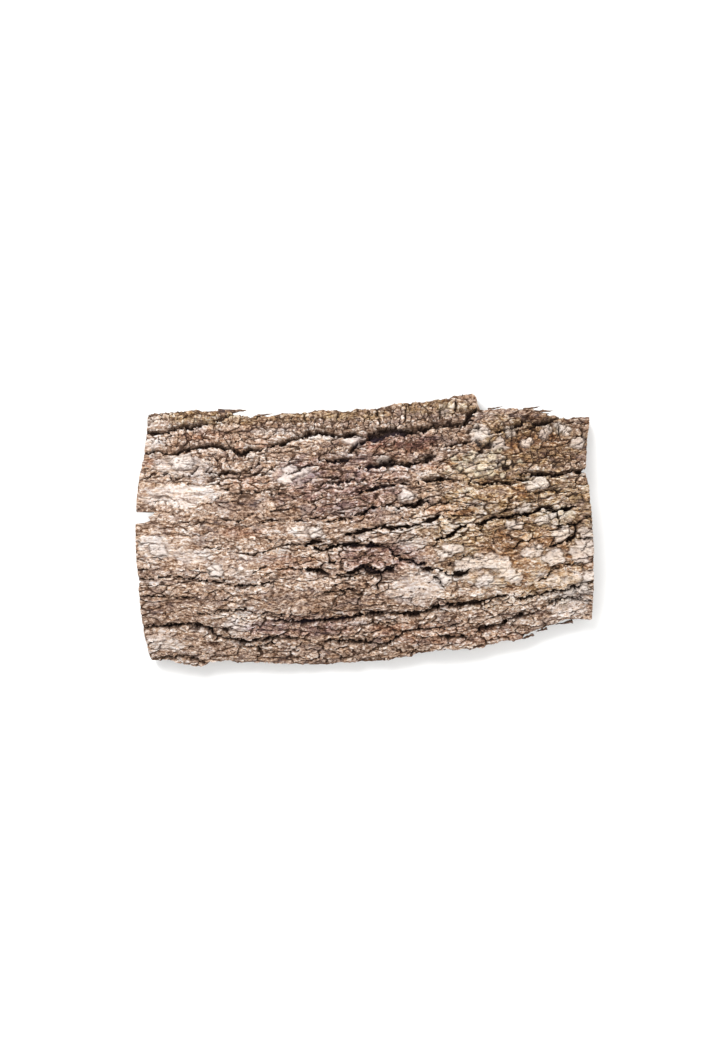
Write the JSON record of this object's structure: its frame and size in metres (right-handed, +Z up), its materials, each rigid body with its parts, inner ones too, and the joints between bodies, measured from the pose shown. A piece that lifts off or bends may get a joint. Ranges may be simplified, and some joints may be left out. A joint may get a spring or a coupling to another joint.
{
  "type": "piece of bark",
  "caption": "Arched plate of deeply fissured tree bark, smooth underneath, lying on its two long edges with the rough side up.",
  "frame": {"origin": "middle of the bounding box at its lowest level, on the surface that the bark lies on", "axes": "+X along the grain towards the narrower end, +Z up out of the rough side"},
  "size_m": [0.3016, 0.1844, 0.0413],
  "materials": {
    "bark": "rough, dry and matt"
  },
  "bodies": {
    "root": {"bark": "bark"}
  },
  "joints": []
}
